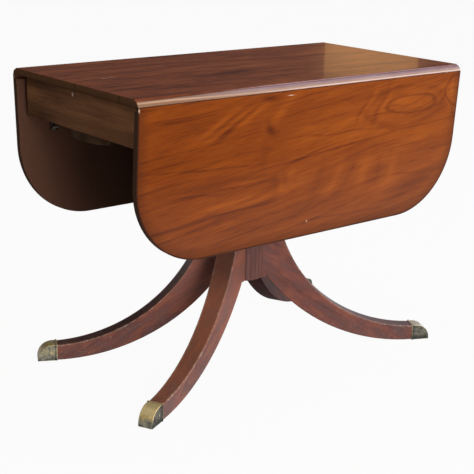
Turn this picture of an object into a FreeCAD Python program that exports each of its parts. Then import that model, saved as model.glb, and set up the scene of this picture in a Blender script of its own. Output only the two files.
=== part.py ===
import FreeCAD, Part
import math
import os

from FreeCAD import Vector as V

# Drop-leaf table on a reeded pedestal with four sabre legs, in millimetres.
# X runs along the table's length, Z is up, and the origin is on the floor under the middle of the top.
# The leaves hang at rest. Front is the -Y side and back is the +Y side.

# Top, leaves and the rule joint between them
top_height = 737.0
top_length = 983.0
flat_width = 493.0
board_thickness = 15.0
joint_fillet = 2.6
pin_rise = 0.9
joint_gap = 0.6
lip_gap = 0.5
leaf_width = 356.0
leaf_corner_radius = 184.0
leaf_hang = 2.9
edge_ease = 1.0

# Frame of rails under the top
end_overhang = 18.0
side_overhang = 19.0
rail_depth = 94.0
rail_thickness = 20.0
corner_block_leg = 56.0
corner_block_drop = 12.0
cross_bearer_thickness = 24.0

# Lengthwise bearer and head block that carry the frame on the pedestal
bearer_width = 160.0
bearer_thickness = 22.0
bearer_bow = 28.0
bearer_setback = 2.0
head_block_side = 170.0
head_block_thickness = 30.0
head_block_chamfer = 7.0

# Pedestal column: a reeded drum with a turned vase above it
drum_radius = 60.0
reed_count = 24
reed_depth = 2.2
column_bottom = 204.0
drum_rise = 10.0
vase_height = 130.0
bead_height = 13.0
bead_swell = 4.0
neck_radius = 33.0
cove_height = 20.0
vase_radius = 47.0
throat_radius = 30.0
throat_height = 16.0
capital_radius = 50.0
capital_height = 14.0
hollow_share = 0.3
tenon_radius = 22.0
tenon_fit = 0.1

# Sabre legs, each in its own upright plane, with r measured outwards along the leg
leg_azimuth = 26.5
leg_crossing = 17.0
leg_root_width = 52.0
leg_toe_width = 34.5
leg_knee_depth = 33.0
leg_heel_depth = 14.0
leg_heel_rise = 6.0
leg_ankle = 40.5
ankle_fall = 2.0
leg_ease = 1.5
leg_mitre_gap = 0.5
seat_depth = 2.0
tongue_depth = 17.0
tongue_neck = 18.0
tongue_tail = 25.0
tongue_stop = 24.0
tongue_fit = 0.1

# Brass toe caps
toe_reach = 535.0
cap_skirt = 11.7
cap_wall = 2.2
cap_proud = 0.8
cap_land = 4.0
cap_ease = 1.5
cap_rim_width = 4.0
cap_rim_proud = 1.0
cap_fit = 0.1
cap_pin_radius = 1.5
cap_pin_length = 12.0

# Plate under the column
plate_radius = 50.0
plate_thickness = 3.0
plate_side_screws = 36.0
plate_middle_screws = 13.0

# Drop-leaf hinges, with a short flap under the top and a long one under the leaf
hinge_count = 3
hinge_inset = 161.5
hinge_length = 60.0
flap_thickness = 1.5
top_flap_reach = 18.0
leaf_flap_reach = 46.0
knuckle_radius = 2.8
knuckle_gap = 0.3
pin_radius = 1.4
running_fit = 0.05
groove_gap = 0.5
groove_end_gap = 0.2
notch_gap = 1.0
flap_relief = 0.3

# Leaf stays: an arm on each end of each side rail, with a stud that runs in a track under the leaf
stay_inset = 91.5
stay_pivot_drop = 54.0
stay_reach = 132.0
arm_width = 8.0
arm_thickness = 3.0
stud_radius = 5.0
stud_length = 12.0
stud_gap = 0.3
track_gauge = 1.5
track_inside = 15.0
track_flange = 6.0
track_end = 10.0
bracket_gauge = 2.0
bracket_width = 30.0
bracket_height = 44.0
ear_radius = 4.5
ear_gap = 0.3
rivet_radius = 2.0
rivet_head = 3.2
rivet_head_height = 1.0
bracket_screw_rise = 15.0
bracket_screw_side = 9.0

# Countersunk slotted screws: head radius, shank radius, head height
SMALL_SCREW = (2.9, 1.5, 1.2)
LARGE_SCREW = (4.4, 2.3, 2.4)
screw_fit = 0.05
slot_share = 0.16
hinge_screw_length = 9.5
track_screw_length = 10.0
bracket_screw_length = 15.0
plate_screw_length = 32.0
head_screw_bite = 16.0
head_screw_margin = 16.0
bearer_screw_bite = 28.0
bearer_screw_setback = 12.0
bearer_screw_spread = 44.0
block_screw_bite = 9.0
leaf_screw_rows = (0.35, 0.75)

# Places worked out from the sizes above
half_length = top_length / 2
fillet_line = flat_width / 2
underside = top_height - board_thickness
pin_height = underside + pin_rise
flap_face = underside - flap_thickness
ovolo_radius = board_thickness - joint_fillet - pin_rise
rail_bottom = underside - rail_depth
rail_end = half_length - end_overhang
rail_side = fillet_line - side_overhang
bearer_bottom = rail_bottom - bearer_thickness
head_bottom = bearer_bottom - head_block_thickness
drum_top = head_bottom - vase_height
leg_top = drum_top - drum_rise
leaf_turn = 90.0 + leaf_hang
azimuth = math.radians(leg_azimuth)
root_side = leg_crossing * math.sin(azimuth) + leg_root_width / 2
drum_inner = drum_radius - reed_depth
leg_seat = leg_crossing * math.cos(azimuth) + math.sqrt(drum_inner**2 - root_side**2) - seat_depth
leg_heel_height = column_bottom + leg_heel_rise
toe_round = leg_ankle + cap_proud - cap_land
cap_length = toe_round + cap_skirt
cap_back = toe_reach - cap_length
leg_sole = cap_proud
pin_axis = V(0, fillet_line, pin_height)
X = V(1, 0, 0)
Z = V(0, 0, 1)
LEFT_RIGHT = (("left", -1), ("right", 1))
FRONT_BACK = (("front", -1), ("back", 1))
ACROSS = {"left": "right", "middle": "middle", "right": "left"}


def box(x0, x1, y0, y1, z0, z1):
    return Part.makeBox(x1 - x0, y1 - y0, z1 - z0, V(x0, y0, z0))


def rod(radius, start, direction, length):
    return Part.makeCylinder(radius, length, start, direction)


def line(start, end):
    return Part.LineSegment(start, end).toShape()


def arc(start, through, end):
    return Part.Arc(start, through, end).toShape()


def face(edges):
    return Part.Face(Part.Wire(edges))


def polygon(points):
    return Part.Face(Part.makePolygon(points + points[:1]))


def fused(shapes):
    return shapes[0].multiFuse(shapes[1:]).removeSplitter()


def half_turned(shape):
    """The same piece on the other side of the table."""
    return shape.rotated(V(0, 0, 0), Z, 180)


def hung(shape):
    """A piece of the back leaf, drawn with the leaf raised, brought down to where it hangs."""
    return shape.rotated(pin_axis, X, -leaf_turn)


def save(name, shape):
    lone = len(shape.Solids) == 1
    piece = shape.Solids[0] if lone else shape
    piece.exportStep(f"parts/{name}.step")


def screw_body(size, at, direction, length, gap):
    """Countersunk head at the surface point, then a plain shank."""
    head_radius, shank_radius, head_height = size
    head = Part.makeCone(head_radius + gap, shank_radius + gap, head_height, at, direction)
    shank = rod(shank_radius + gap, at, direction, length + gap)
    return head.fuse(shank)


def screw(size, at, direction, length):
    """One screw with a slot cut across its head."""
    head_radius = size[0]
    body = screw_body(size, at, direction, length, 0)
    slot_width = 2 * head_radius * slot_share
    slot_depth = size[2] / 2
    slot = box(-head_radius, head_radius, -slot_width / 2, slot_width / 2, 0, slot_depth)
    slot.Placement = FreeCAD.Placement(at, FreeCAD.Rotation(Z, direction))
    return body.cut(slot)


def screws(size, seats, length):
    return [screw(size, at, direction, length) for at, direction in seats]


def screw_holes(size, seats, length):
    return [screw_body(size, at, direction, length, screw_fit) for at, direction in seats]


# Hinges, drawn for the back leaf in its raised position

def hinge_places():
    outer = half_length - hinge_inset
    spacing = 2 * outer / (hinge_count - 1)
    return [i * spacing - outer for i in range(hinge_count)]


def knuckles(x, radius, which, gap):
    """The barrel's outer thirds, or its middle third, each shortened by half the gap."""
    third = hinge_length / 3
    spans = {"outer": ((-1.5, -0.5), (0.5, 1.5)), "middle": ((-0.5, 0.5),)}[which]
    barrels = []
    for start, end in spans:
        first = x + start * third + (gap / 2 if start != -1.5 else 0)
        last = x + end * third - (gap / 2 if end != 1.5 else 0)
        barrels.append(rod(radius, V(first, fillet_line, pin_height), X, last - first))
    return barrels


def flap(x, which, y0, y1):
    """A plate screwed on under the wood, notched round the other flap's knuckles."""
    other = {"outer": "middle", "middle": "outer"}[which]
    plate = box(x - hinge_length / 2, x + hinge_length / 2, y0, y1, flap_face, underside)
    plate = plate.cut(Part.makeCompound(knuckles(x, knuckle_radius + notch_gap, other, -knuckle_gap)))
    body = fused([plate] + knuckles(x, knuckle_radius, which, knuckle_gap))
    bore = rod(pin_radius + running_fit, V(x - hinge_length, fillet_line, pin_height), X, 2 * hinge_length)
    return body.cut(bore)


def top_flap_seats(x):
    y = fillet_line - (top_flap_reach + knuckle_radius) / 2
    return [(V(x + step * hinge_length / 3, y, flap_face), Z) for step in (-1, 0, 1)]


def leaf_flap_seats(x):
    clear = leaf_flap_reach - ovolo_radius
    near, far = [fillet_line + ovolo_radius + share * clear for share in leaf_screw_rows]
    return [(V(x + step * hinge_length / 3, far if step else near, flap_face), Z) for step in (-1, 0, 1)]


def hinge_groove(x):
    """What is cut from the top's underside for one barrel, with a shallow relief over the leaf's flap."""
    half = hinge_length / 2 + groove_end_gap
    edge = fillet_line + ovolo_radius + joint_gap
    relief = box(x - half, x + half, fillet_line, edge, underside, underside + flap_relief)
    barrel = rod(knuckle_radius + groove_gap, V(x - half, fillet_line, pin_height), X, 2 * half)
    return barrel.fuse(relief)


# Leaf stays, worked out in the upright plane across the table

hang = math.radians(leaf_hang)
leaf_face = fillet_line - stay_pivot_drop * math.tan(hang) - pin_rise / math.cos(hang)
stay_pivot = V(0, (rail_side + bracket_gauge + leaf_face) / 2, pin_height - stay_pivot_drop)
stud_offset = underside - track_gauge - stud_gap - stud_radius - pin_height
stud_down = hung(Part.Vertex(V(0, fillet_line + stay_reach, pin_height + stud_offset))).Point
arm_length = (stud_down - stay_pivot).Length
stud_rise = pin_height + stud_offset - stay_pivot.z
stud_up = stay_pivot + V(0, math.sqrt(arm_length**2 - stud_rise**2), stud_rise)
arm_rest = math.degrees(math.atan2(stud_down.z - stay_pivot.z, stud_down.y - stay_pivot.y))
arm_raised = math.degrees(math.atan2(stud_up.z - stay_pivot.z, stud_up.y - stay_pivot.y))
arm_turn = arm_raised - arm_rest
ear_start = arm_thickness / 2 + ear_gap


def stay_arm(x):
    """Flat bar from the rail pivot to the stud, built level and turned to where it hangs."""
    half = arm_thickness / 2
    width = arm_width / 2
    bar = box(-half, half, 0, arm_length, -width, width)
    ends = [rod(width, V(-half, y, 0), X, arm_thickness) for y in (0, arm_length)]
    stud = rod(stud_radius, V(-stud_length / 2, arm_length, 0), X, stud_length)
    hole = rod(rivet_radius + running_fit, V(-half, 0, 0), X, arm_thickness)
    arm = fused([bar] + ends + [stud]).cut(hole)
    return arm.rotated(V(0, 0, 0), X, arm_rest).translated(stay_pivot + V(x, 0, 0))


def stay_bracket(x):
    """Plate on the rail with an ear that stands out beside the arm."""
    z = stay_pivot.z
    y = stay_pivot.y
    low = z - bracket_height / 2
    left = x - bracket_width / 2
    plate = box(left, left + bracket_width, rail_side, rail_side + bracket_gauge, low, low + bracket_height)
    ear = box(x + ear_start, x + ear_start + bracket_gauge, rail_side, y, z - ear_radius, z + ear_radius)
    ear_end = rod(ear_radius, V(x + ear_start, y, z), X, bracket_gauge)
    hole = rod(rivet_radius + screw_fit, V(x + ear_start, y, z), X, bracket_gauge)
    return fused([plate, ear, ear_end]).cut(hole)


def stay_rivet(x):
    """Rivet through the ear and the arm, with a flat head on both sides."""
    first = x - arm_thickness / 2 - ear_gap
    last = x + ear_start + bracket_gauge
    shank = rod(rivet_radius, V(first, stay_pivot.y, stay_pivot.z), X, last - first)
    inner = rod(rivet_head, V(first - rivet_head_height, stay_pivot.y, stay_pivot.z), X, rivet_head_height)
    outer = rod(rivet_head, V(last, stay_pivot.y, stay_pivot.z), X, rivet_head_height)
    return fused([shank, inner, outer])


def bracket_seats(x):
    y = rail_side + bracket_gauge
    z = stay_pivot.z
    rises = (-bracket_screw_rise, bracket_screw_rise)
    return [(V(x - bracket_screw_side, y, z + rise), V(0, -1, 0)) for rise in rises]


def track_ends():
    return stud_up.y - track_end, fillet_line + stay_reach + track_end


def stay_track(x):
    """Channel under the raised leaf, open downwards, that the stud runs in."""
    near, far = track_ends()
    outside = track_inside / 2 + track_gauge
    low = underside - track_gauge - track_flange
    solid = box(x - outside, x + outside, near, far, low, underside)
    hollow = box(x - track_inside / 2, x + track_inside / 2, near, far, low, underside - track_gauge)
    return solid.cut(hollow)


def track_seats(x):
    near, far = track_ends()
    inset = track_end / 2
    return [(V(x, y, underside - track_gauge), Z) for y in (near + inset, (near + far) / 2, far - inset)]


# Wooden top

def fixed_top():
    """Board with a fillet and a quarter round worked along both long edges."""
    y0 = fillet_line
    y1 = fillet_line + ovolo_radius
    bend = ovolo_radius * math.sqrt(0.5)
    shoulder = pin_height + ovolo_radius

    def point(y, z):
        return V(-half_length, y, z)

    edges = [
        line(point(-y1, underside), point(y1, underside)),
        line(point(y1, underside), point(y1, pin_height)),
        arc(point(y1, pin_height), point(y0 + bend, pin_height + bend), point(y0, shoulder)),
        line(point(y0, shoulder), point(y0, top_height)),
        line(point(y0, top_height), point(-y0, top_height)),
        line(point(-y0, top_height), point(-y0, shoulder)),
        arc(point(-y0, shoulder), point(-y0 - bend, pin_height + bend), point(-y1, pin_height)),
        line(point(-y1, pin_height), point(-y1, underside)),
    ]
    board = face(edges).extrude(V(top_length, 0, 0))
    rim = [e for e in board.Edges if abs(e.BoundBox.ZMin - top_height) < 1e-6]
    board = board.makeFillet(edge_ease, rim)
    grooves = [hinge_groove(x) for x in hinge_places()]
    grooves += [half_turned(g) for g in grooves]
    return board.cut(Part.makeCompound(grooves))


def raised_leaf():
    """Leaf with two rounded corners and the cove that rides over the top's quarter round."""
    y0 = fillet_line + lip_gap
    y1 = fillet_line + leaf_width
    x = half_length
    corner = leaf_corner_radius
    bend = corner * (1 - math.sqrt(0.5))

    def point(px, py):
        return V(px, py, underside)

    edges = [
        line(point(-x, y0), point(x, y0)),
        line(point(x, y0), point(x, y1 - corner)),
        arc(point(x, y1 - corner), point(x - bend, y1 - bend), point(x - corner, y1)),
        line(point(x - corner, y1), point(-x + corner, y1)),
        arc(point(-x + corner, y1), point(-x + bend, y1 - bend), point(-x, y1 - corner)),
        line(point(-x, y1 - corner), point(-x, y0)),
    ]
    board = face(edges).extrude(V(0, 0, board_thickness))
    level = [e for e in board.Edges if e.BoundBox.ZLength < 1e-6]
    rim = [e for e in level if e.BoundBox.YMax > y0 + edge_ease or e.BoundBox.ZMin > underside]
    board = board.makeFillet(edge_ease, rim)
    cove = rod(ovolo_radius + joint_gap, V(-x - 1, fillet_line, pin_height), X, top_length + 2)
    return board.cut(cove)


# Frame

def end_rail(side):
    outer = side * rail_end
    inner = side * (rail_end - rail_thickness)
    return box(min(outer, inner), max(outer, inner), -rail_side, rail_side, rail_bottom, underside)


def back_side_rail():
    x = rail_end - rail_thickness
    return box(-x, x, rail_side - rail_thickness, rail_side, rail_bottom, underside)


def corner_block(side_x, side_y):
    """Three-cornered block glued in the angle of two rails."""
    x = side_x * (rail_end - rail_thickness)
    y = side_y * (rail_side - rail_thickness)
    z = rail_bottom + corner_block_drop
    points = [V(x, y, z), V(x - side_x * corner_block_leg, y, z), V(x, y - side_y * corner_block_leg, z)]
    return polygon(points).extrude(V(0, 0, underside - z))


def block_seats():
    inset = corner_block_leg / 3
    x = rail_end - rail_thickness - inset
    y = rail_side - rail_thickness - inset
    z = rail_bottom + corner_block_drop
    return [(V(sx * x, sy * y, z), Z) for sx in (-1, 1) for sy in (-1, 1)]


def cross_bearer():
    half = cross_bearer_thickness / 2
    y = rail_side - rail_thickness
    return box(-half, half, -y, y, rail_bottom, underside)


def long_bearer():
    """Board along the table under the rails, with bowed ends."""
    nose = rail_end - bearer_setback
    shoulder = nose - bearer_bow
    half = bearer_width / 2

    def point(px, py):
        return V(px, py, bearer_bottom)

    edges = [
        line(point(-shoulder, -half), point(shoulder, -half)),
        arc(point(shoulder, -half), point(nose, 0), point(shoulder, half)),
        line(point(shoulder, half), point(-shoulder, half)),
        arc(point(-shoulder, half), point(-nose, 0), point(-shoulder, -half)),
    ]
    board = face(edges).extrude(V(0, 0, bearer_thickness))
    rim = [e for e in board.Edges if abs(e.BoundBox.ZMax - bearer_bottom) < 1e-6]
    return board.makeFillet(edge_ease, rim)


def bearer_seats():
    x = rail_end - bearer_screw_setback
    y = bearer_screw_spread / 2
    return [(V(sx * x, sy * y, bearer_bottom), Z) for sx in (-1, 1) for sy in (-1, 1)]


def head_block():
    half = head_block_side / 2
    block = box(-half, half, -half, half, head_bottom, bearer_bottom)
    rim = [e for e in block.Edges if abs(e.BoundBox.ZMax - head_bottom) < 1e-6]
    return block.makeChamfer(head_block_chamfer, rim)


def head_seats():
    place = min(head_block_side, bearer_width) / 2 - head_screw_margin
    return [(V(sx * place, sy * place, head_bottom), Z) for sx in (-1, 1) for sy in (-1, 1)]


# Pedestal

def reeded_drum():
    """Round drum whose face is worked into upright reeds."""
    pitch = 2 * math.pi / reed_count

    def point(radius, angle):
        return V(radius * math.cos(angle), radius * math.sin(angle), column_bottom)

    reeds = []
    for i in range(reed_count):
        start = point(drum_inner, i * pitch)
        crest = point(drum_radius, (i + 0.5) * pitch)
        end = point(drum_inner, (i + 1) * pitch)
        reeds.append(arc(start, crest, end))
    return face(reeds).extrude(V(0, 0, drum_top - column_bottom))


def turned_vase():
    """Bead, cove, vase, throat and capital, turned above the drum, with a round tenon on top."""
    bead_top = drum_top + bead_height
    cove_top = bead_top + cove_height
    capital_bottom = head_bottom - capital_height
    throat_bottom = capital_bottom - throat_height
    tenon_top = rail_bottom

    def point(radius, z):
        return V(radius, 0, z)

    bead_crest = point(drum_inner + bead_swell, (drum_top + bead_top) / 2)
    belly = point(vase_radius, (cove_top + throat_bottom) / 2)
    cove_out = hollow_share * (drum_inner - neck_radius)
    cove_bend = point(neck_radius + cove_out, bead_top + hollow_share * cove_height)
    throat_out = hollow_share * (capital_radius - throat_radius)
    throat_bend = point(throat_radius + throat_out, capital_bottom - hollow_share * throat_height)
    capital_crest = point(capital_radius, (capital_bottom + head_bottom) / 2)
    capital_face = capital_radius - bead_swell
    edges = [
        line(point(0, drum_top), point(drum_inner, drum_top)),
        arc(point(drum_inner, drum_top), bead_crest, point(drum_inner, bead_top)),
        arc(point(drum_inner, bead_top), cove_bend, point(neck_radius, cove_top)),
        arc(point(neck_radius, cove_top), belly, point(throat_radius, throat_bottom)),
        arc(point(throat_radius, throat_bottom), throat_bend, point(capital_face, capital_bottom)),
        arc(point(capital_face, capital_bottom), capital_crest, point(capital_face, head_bottom)),
        line(point(capital_face, head_bottom), point(tenon_radius, head_bottom)),
        line(point(tenon_radius, head_bottom), point(tenon_radius, tenon_top)),
        line(point(tenon_radius, tenon_top), point(0, tenon_top)),
        line(point(0, tenon_top), point(0, drum_top)),
    ]
    return face(edges).revolve(V(0, 0, 0), Z, 360)


def leg_placed(shape, side_x, side_y):
    """A piece drawn along a leg, with r on X, set out to one of the four corners."""
    turn = math.degrees(math.atan2(side_y * math.sin(azimuth), side_x * math.cos(azimuth)))
    return shape.rotated(V(0, 0, 0), Z, turn).translated(V(-side_x * leg_crossing, 0, 0))


def leg_wedge(grow, z0, z1, r0):
    """Plan of the leg, narrowing to the toe, as a prism. grow is added to each side.

    Its root is kept to its own side of the plane between it and the leg beside it.
    """
    slope = (leg_toe_width - leg_root_width) / 2 / (toe_reach - leg_seat)
    r1 = toe_reach + cap_length

    def half(r):
        return leg_root_width / 2 + slope * (r - leg_seat) + grow

    points = [V(r0, -half(r0), z0), V(r1, -half(r1), z0), V(r1, half(r1), z0), V(r0, half(r0), z0)]
    mitre_start = leg_mitre_gap / math.sin(azimuth)
    mitre_half = (r1 - mitre_start) * math.tan(azimuth)
    mitre = polygon([V(mitre_start, 0, z0), V(r1, -mitre_half, z0), V(r1, mitre_half, z0)])
    return polygon(points).common(mitre).extrude(V(0, 0, z1 - z0))


def climbing_arc(low, high, slope):
    """Arc from the low outer point, which it leaves at this slope in degrees, up to the high inner one."""
    tilt = math.radians(slope)
    run = (low.x - high.x) * math.cos(tilt) + (high.z - low.z) * math.sin(tilt)
    rise = (high.z - low.z) * math.cos(tilt) - (low.x - high.x) * math.sin(tilt)
    radius = (run**2 + rise**2) / (2 * rise)
    half = math.atan2(run, radius - rise) / 2
    chord = 2 * radius * math.sin(half / 2)
    angle = half / 2 + tilt
    middle = low + V(-chord * math.cos(angle), 0, chord * math.sin(angle))
    return arc(low, middle, high)


def prism_across(edges):
    """A profile in the leg's plane, made into a slab wider than the leg."""
    width = 2 * leg_root_width
    profile = face(edges)
    profile.translate(V(0, -width / 2, 0))
    return profile.extrude(V(0, width, 0))


def toe_profile(inset, back):
    """Outline of the toe from the cap's back to its rounded nose, drawn in from the cap's outside."""
    centre_r = toe_reach - toe_round
    radius = toe_round - inset
    bend = radius * math.sqrt(0.5)
    low = V(back, 0, inset)
    high = V(back, 0, cap_land + radius)
    crown = V(centre_r, 0, cap_land + radius)
    through = V(centre_r + bend, 0, cap_land + bend)
    tip = V(centre_r + radius, 0, cap_land)
    sole = V(centre_r + radius, 0, inset)
    return [line(low, high), line(high, crown), arc(crown, through, tip), line(tip, sole), line(sole, low)]


def leg_blank():
    """The leg's sabre profile from the column to the cap's back, cut to its tapering plan."""
    heel_r = leg_seat + leg_heel_depth
    knee_r = leg_seat + leg_knee_depth
    heel_low = V(heel_r, 0, column_bottom)
    heel = V(heel_r, 0, leg_heel_height)
    sole = V(cap_back, 0, leg_sole)
    ankle = V(cap_back, 0, leg_ankle)
    knee = V(knee_r, 0, leg_top)
    crown = V(leg_seat, 0, leg_top)
    root = V(leg_seat, 0, column_bottom)
    edges = [
        line(root, heel_low),
        line(heel_low, heel),
        climbing_arc(sole, heel, 0),
        line(sole, ankle),
        climbing_arc(ankle, knee, ankle_fall),
        line(knee, crown),
        line(crown, root),
    ]
    blank = prism_across(edges).common(leg_wedge(0, 0, top_height, leg_seat))
    arrises = [e for e in blank.Edges if e.BoundBox.XLength > (cap_back - leg_seat) / 2]
    return blank.makeFillet(leg_ease, arrises)


def toe_tenon():
    """The toe's wood inside the cap, reaching back a little into the leg."""
    inset = cap_wall + cap_fit
    back = cap_back - cap_wall
    toe = prism_across(toe_profile(inset, back))
    return toe.common(leg_wedge(cap_proud - inset, 0, leg_top, leg_seat))


def is_cap_arris(bounds):
    """True for the edges that run along the cap's two sides and down its nose, clear of sole and back."""
    lengthwise = bounds.XLength > cap_wall and bounds.ZMax > cap_land
    at_the_tip = bounds.XMin > toe_reach - cap_wall and bounds.YLength < cap_wall
    return lengthwise or (at_the_tip and bounds.ZLength > cap_wall)


def toe_cap():
    """Cast brass box over the toe, open at the back, with rounded arrises and a raised rim."""
    outside = prism_across(toe_profile(0, cap_back)).common(leg_wedge(cap_proud, 0, leg_top, leg_seat))
    nose = [e for e in outside.Edges if is_cap_arris(e.BoundBox)]
    outside = outside.makeFillet(cap_ease, nose)
    rim_plan = leg_wedge(cap_proud + cap_rim_proud, 0, leg_top, leg_seat)
    rim = prism_across(toe_profile(-cap_rim_proud, cap_back)).common(rim_plan)
    rim = rim.common(box(cap_back, cap_back + cap_rim_width, -leg_root_width, leg_root_width, 0, leg_top))
    outside = fused([outside, rim])
    hollow = prism_across(toe_profile(cap_wall, cap_back - 1)).common(
        leg_wedge(cap_proud - cap_wall, 0, leg_top, leg_seat))
    return outside.cut(hollow)


def cap_pin(gap):
    """Brass pin through the cap's wall into the toe, seen from the leg's own side."""
    r = cap_back + cap_length / 3
    z = leg_ankle / 2
    slope = (leg_toe_width - leg_root_width) / 2 / (toe_reach - leg_seat)
    side = leg_root_width / 2 + slope * (r - leg_seat) + cap_proud
    return rod(cap_pin_radius + gap, V(r, side, z), V(0, -1, 0), cap_pin_length + gap)


def tongue(gap):
    """Dovetail tongue on the leg's root, stopped short of its top. gap is added for the socket."""
    near = tongue_neck / 2 + gap
    far = tongue_tail / 2 + gap
    r0 = leg_seat
    r1 = leg_seat - tongue_depth - gap
    z = column_bottom
    points = [V(r0, -near, z), V(r0, near, z), V(r1, far, z), V(r1, -far, z)]
    return polygon(points).extrude(V(0, 0, leg_top - tongue_stop + gap - z))


def base_plate():
    return rod(plate_radius, V(0, 0, column_bottom - plate_thickness), Z, plate_thickness)


def plate_seats():
    z = column_bottom - plate_thickness
    sides = [(V(0, sign * plate_side_screws, z), Z) for sign in (-1, 1)]
    middles = [(V(sign * plate_middle_screws, 0, z), Z) for sign in (-1, 1)]
    return sides + middles


def build():
    os.makedirs("parts", exist_ok=True)
    solids = {}
    block_screw_length = rail_depth - corner_block_drop + block_screw_bite
    head_screw_length = head_block_thickness + head_screw_bite
    bearer_screw_length = bearer_thickness + bearer_screw_bite

    # Screw seats that come in two sides
    places = hinge_places()
    stays = [side * (half_length - stay_inset) for _, side in LEFT_RIGHT]
    top_seats = [seat for x in places for seat in top_flap_seats(x)]
    flap_seats = [seat for x in places for seat in leaf_flap_seats(x)]
    runner_seats = [seat for x in stays for seat in track_seats(x)]
    rail_seats = [seat for x in stays for seat in bracket_seats(x)]
    top_holes = screw_holes(SMALL_SCREW, top_seats, hinge_screw_length)
    flap_holes = screw_holes(SMALL_SCREW, flap_seats, hinge_screw_length)
    runner_holes = screw_holes(SMALL_SCREW, runner_seats, track_screw_length)
    rail_holes = screw_holes(SMALL_SCREW, rail_seats, bracket_screw_length)
    block_holes = screw_holes(LARGE_SCREW, block_seats(), block_screw_length)
    bearer_holes = screw_holes(LARGE_SCREW, bearer_seats(), bearer_screw_length)
    head_holes = screw_holes(LARGE_SCREW, head_seats(), head_screw_length)
    plate_holes = screw_holes(LARGE_SCREW, plate_seats(), plate_screw_length)

    # Top and leaves
    top_cuts = top_holes + [half_turned(h) for h in top_holes] + block_holes
    solids["fixed_top"] = fixed_top().cut(Part.makeCompound(top_cuts))
    back_leaf = hung(raised_leaf().cut(Part.makeCompound(flap_holes + runner_holes)))
    solids["back_leaf"] = back_leaf
    solids["front_leaf"] = half_turned(back_leaf)

    # Frame
    for name, side in LEFT_RIGHT:
        solids[f"{name}_end_rail"] = end_rail(side).cut(Part.makeCompound(bearer_holes))
    back_rail = back_side_rail().cut(Part.makeCompound(rail_holes))
    solids["back_side_rail"] = back_rail
    solids["front_side_rail"] = half_turned(back_rail)
    blocks = [corner_block(sx, sy) for sx in (-1, 1) for sy in (-1, 1)]
    solids["corner_blocks"] = Part.makeCompound([b.cut(Part.makeCompound(block_holes)) for b in blocks])
    solids["cross_bearer"] = cross_bearer()
    tenon_hole = rod(tenon_radius + tenon_fit, V(0, 0, head_bottom), Z, rail_bottom - head_bottom)
    solids["long_bearer"] = long_bearer().cut(Part.makeCompound(bearer_holes + head_holes + [tenon_hole]))
    solids["head_block"] = head_block().cut(Part.makeCompound(head_holes + [tenon_hole]))

    # Pedestal
    corners = [(f"{end}_{side}", sx, sy) for side, sy in FRONT_BACK for end, sx in LEFT_RIGHT]
    housing = leg_wedge(0, column_bottom, leg_top, leg_seat)
    sockets = [leg_placed(s, sx, sy) for _, sx, sy in corners for s in (housing, tongue(tongue_fit))]
    column = fused([reeded_drum(), turned_vase()])
    solids["column"] = column.cut(Part.makeCompound(sockets)).cut(Part.makeCompound(plate_holes))
    leg = fused([leg_blank(), tongue(0), toe_tenon()]).cut(cap_pin(cap_fit))
    cap = toe_cap().cut(cap_pin(cap_fit))
    for name, sx, sy in corners:
        solids[f"{name}_leg"] = leg_placed(leg, sx, sy)
        solids[f"{name}_toe_cap"] = leg_placed(cap, sx, sy)
    solids["toe_cap_pins"] = Part.makeCompound([leg_placed(cap_pin(0), sx, sy) for _, sx, sy in corners])
    solids["base_plate"] = base_plate().cut(Part.makeCompound(plate_holes))

    # Hinges
    for place, x in zip(ACROSS, places):
        top_flap = flap(x, "outer", fillet_line - top_flap_reach, fillet_line)
        top_flap = top_flap.cut(Part.makeCompound(top_holes))
        leaf_flap = flap(x, "middle", fillet_line, fillet_line + leaf_flap_reach)
        leaf_flap = hung(leaf_flap.cut(Part.makeCompound(flap_holes)))
        solids[f"back_{place}_hinge_top_flap"] = top_flap
        solids[f"back_{place}_hinge_leaf_flap"] = leaf_flap
        solids[f"front_{ACROSS[place]}_hinge_top_flap"] = half_turned(top_flap)
        solids[f"front_{ACROSS[place]}_hinge_leaf_flap"] = half_turned(leaf_flap)
    pin_starts = [V(x - hinge_length / 2, fillet_line, pin_height) for x in places]
    pins = [rod(pin_radius, start, X, hinge_length) for start in pin_starts]
    solids["back_hinge_pins"] = Part.makeCompound(pins)
    solids["front_hinge_pins"] = Part.makeCompound([half_turned(p) for p in pins])

    # Leaf stays
    for (place, _), x in zip(LEFT_RIGHT, stays):
        bracket = stay_bracket(x).cut(Part.makeCompound(rail_holes))
        track = hung(stay_track(x).cut(Part.makeCompound(runner_holes)))
        arm = stay_arm(x)
        solids[f"back_{place}_stay_bracket"] = bracket
        solids[f"back_{place}_stay_arm"] = arm
        solids[f"back_{place}_stay_track"] = track
        solids[f"front_{ACROSS[place]}_stay_bracket"] = half_turned(bracket)
        solids[f"front_{ACROSS[place]}_stay_arm"] = half_turned(arm)
        solids[f"front_{ACROSS[place]}_stay_track"] = half_turned(track)
    rivets = [stay_rivet(x) for x in stays]
    solids["stay_rivets"] = Part.makeCompound(rivets + [half_turned(r) for r in rivets])

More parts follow.
